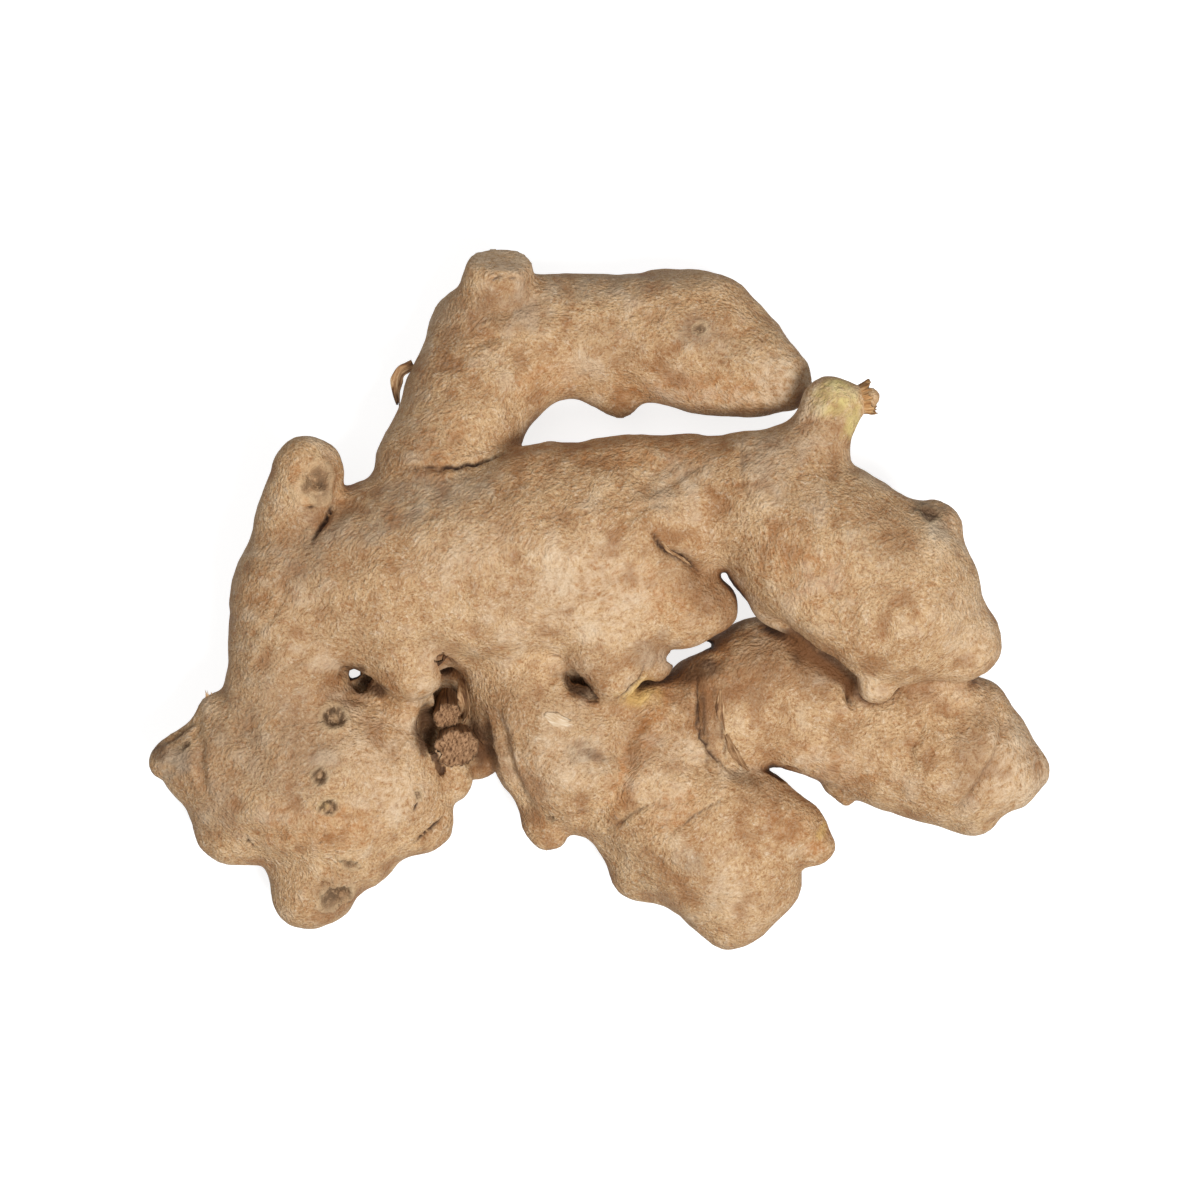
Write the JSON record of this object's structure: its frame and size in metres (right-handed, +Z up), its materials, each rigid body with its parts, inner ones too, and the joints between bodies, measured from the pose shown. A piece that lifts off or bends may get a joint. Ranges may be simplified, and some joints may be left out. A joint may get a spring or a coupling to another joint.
{
  "type": "ginger root",
  "caption": "Whole hand of fresh ginger: knobbly branching fingers with stem scars, dried scales and one green shoot, lying flat.",
  "frame": {"origin": "under the middle of the hand's box, on the surface that it rests on", "axes": "+X along the hand's longest side, from the old knob to the finger tips; +Y towards the top finger; +Z up"},
  "size_m": [0.1492, 0.1164, 0.0361],
  "materials": {
    "ginger_skin": "matt dry corky skin with a fine fibrous grain"
  },
  "bodies": {
    "root": {"ginger_rhizome": "ginger_skin"}
  },
  "joints": []
}
